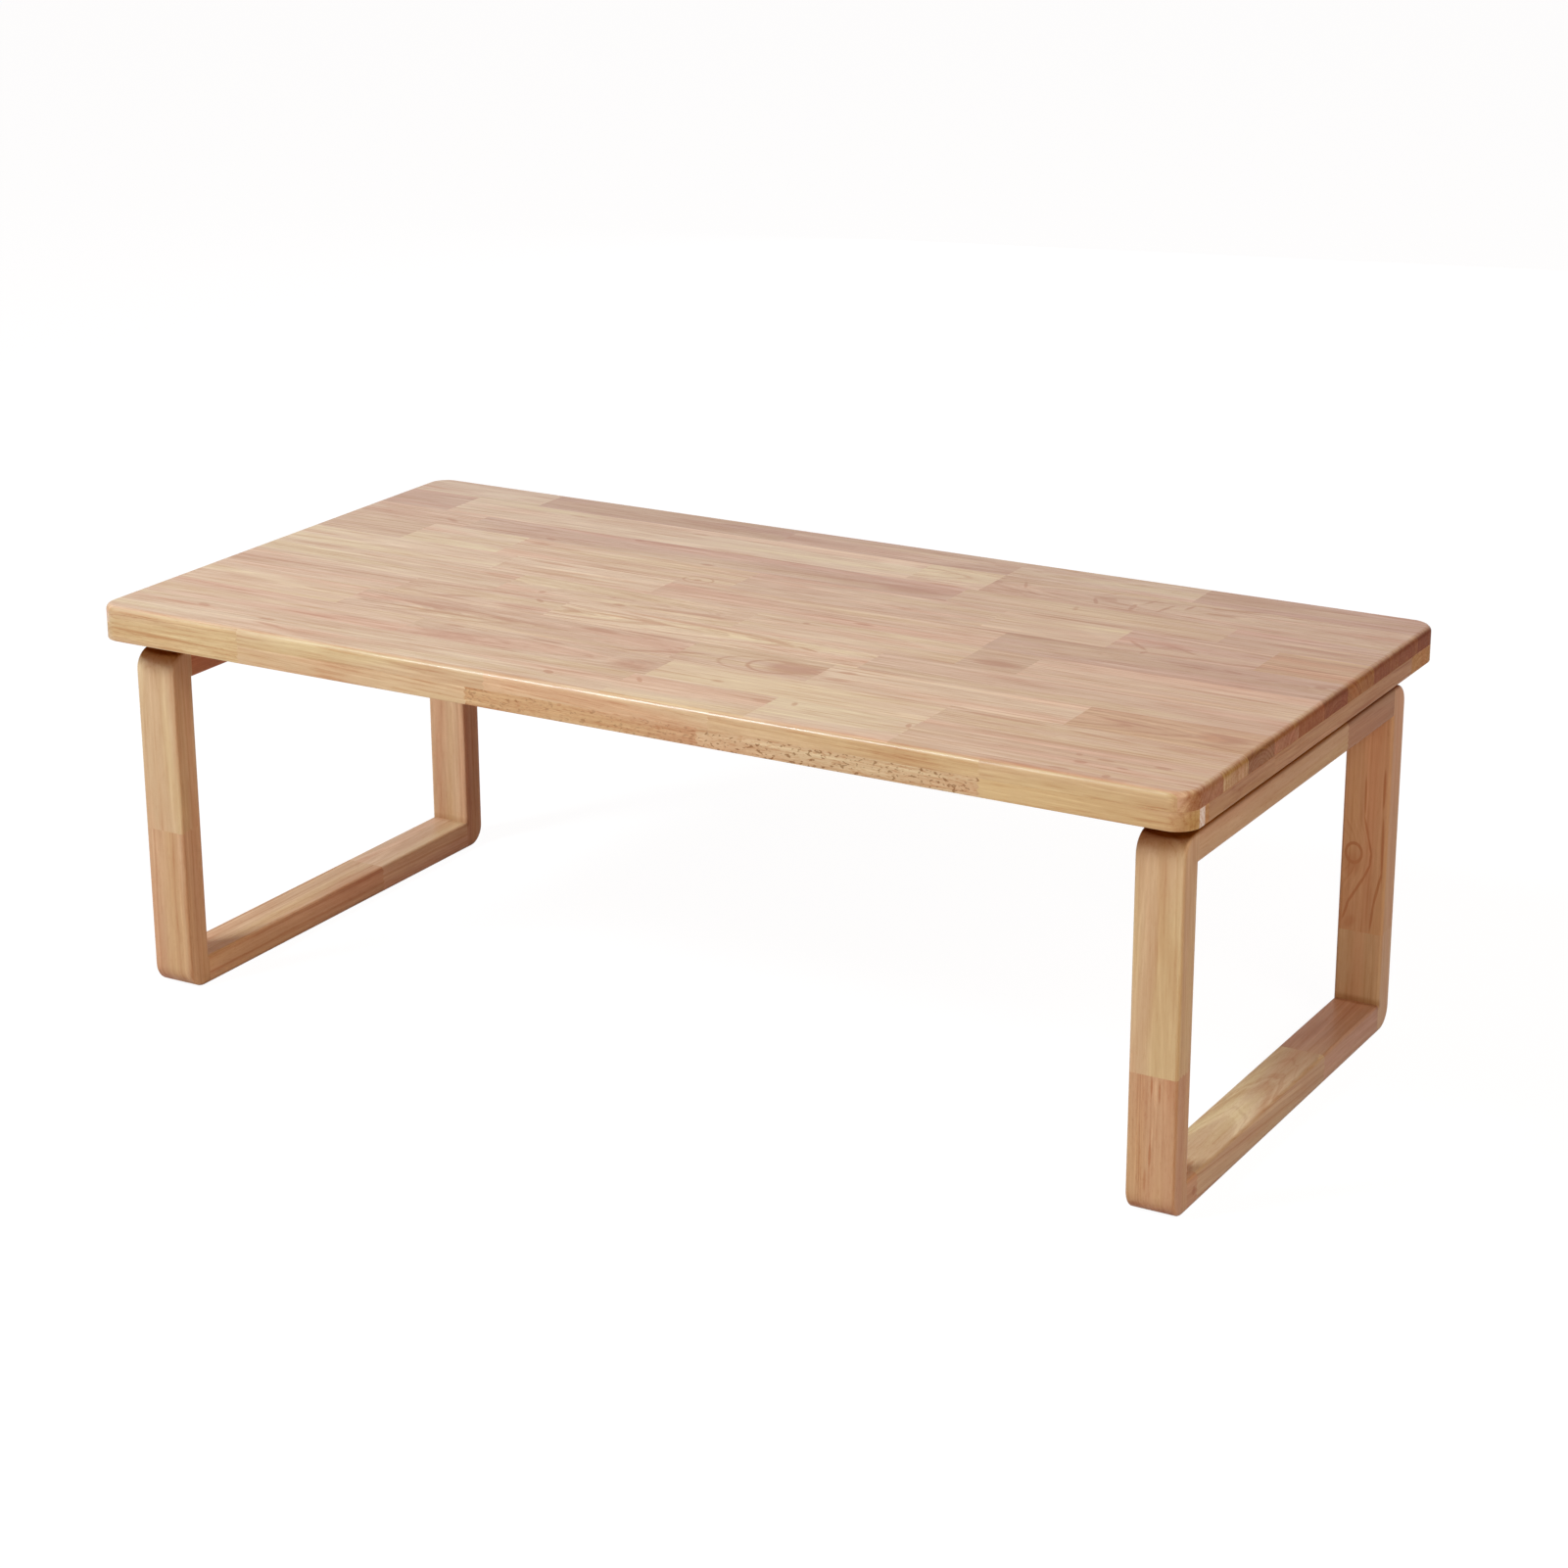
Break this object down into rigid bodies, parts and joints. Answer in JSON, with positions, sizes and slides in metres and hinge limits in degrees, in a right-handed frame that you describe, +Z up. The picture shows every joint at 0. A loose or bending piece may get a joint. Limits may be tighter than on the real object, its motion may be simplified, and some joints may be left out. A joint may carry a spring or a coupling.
{
  "type": "folding low table",
  "caption": "Low rectangular wooden table with a thick-edged top on closed loop legs that fold inward on spring-detent brackets.",
  "frame": {"origin": "on the floor, under the centre of the tabletop", "axes": "+X along the table's length to the right, +Y to the back, +Z up"},
  "size_m": [1, 0.5, 0.35],
  "materials": {
    "rubberwood_top": "clear satin lacquer over edge-glued, finger-jointed staves",
    "rubberwood_leg": "clear satin lacquer over finger-jointed stock",
    "dowel_wood": "bare, glued in",
    "zinc_steel": "bright zinc-plated steel strip, stamped",
    "pin_steel": "turned steel, zinc-plated",
    "spring_steel": "blued spring steel",
    "screw_steel": "zinc-plated"
  },
  "bodies": {
    "tabletop": {"top_panel": "rubberwood_top", "front_batten": "rubberwood_top", "rear_batten": "rubberwood_top", "left_end_batten": "rubberwood_top", "right_end_batten": "rubberwood_top", "left_front_base_plate": "zinc_steel", "left_front_hinge_pin": "pin_steel", "left_front_leaf_spring": "spring_steel", "left_front_spring_rivets": "pin_steel", "left_front_base_screws": "screw_steel", "left_rear_base_plate": "zinc_steel", "left_rear_hinge_pin": "pin_steel", "left_rear_leaf_spring": "spring_steel", "left_rear_spring_rivets": "pin_steel", "left_rear_base_screws": "screw_steel", "right_front_base_plate": "zinc_steel", "right_front_hinge_pin": "pin_steel", "right_front_leaf_spring": "spring_steel", "right_front_spring_rivets": "pin_steel", "right_front_base_screws": "screw_steel", "right_rear_base_plate": "zinc_steel", "right_rear_hinge_pin": "pin_steel", "right_rear_leaf_spring": "spring_steel", "right_rear_spring_rivets": "pin_steel", "right_rear_base_screws": "screw_steel"},
    "left_leg": {"left_front_post": "rubberwood_leg", "left_rear_post": "rubberwood_leg", "left_top_rail": "rubberwood_leg", "left_bottom_rail": "rubberwood_leg", "left_leg_dowels": "dowel_wood", "left_front_leg_plate": "zinc_steel", "left_front_leg_screws": "screw_steel", "left_rear_leg_plate": "zinc_steel", "left_rear_leg_screws": "screw_steel"},
    "right_leg": {"right_front_post": "rubberwood_leg", "right_rear_post": "rubberwood_leg", "right_top_rail": "rubberwood_leg", "right_bottom_rail": "rubberwood_leg", "right_leg_dowels": "dowel_wood", "right_front_leg_plate": "zinc_steel", "right_front_leg_screws": "screw_steel", "right_rear_leg_plate": "zinc_steel", "right_rear_leg_screws": "screw_steel"}
  },
  "joints": [
    {"name": "left_leg_fold", "type": "hinge", "parent": "tabletop", "child": "left_leg", "pos_m": [-0.445, 0, 0.31125], "axis": [0, -1, 0], "range_deg": [0, 90], "deforming": ["left_front_leaf_spring", "left_rear_leaf_spring"]},
    {"name": "right_leg_fold", "type": "hinge", "parent": "tabletop", "child": "right_leg", "pos_m": [0.445, 0, 0.31125], "axis": [0, 1, 0], "range_deg": [0, 90], "deforming": ["right_front_leaf_spring", "right_rear_leaf_spring"]}
  ]
}
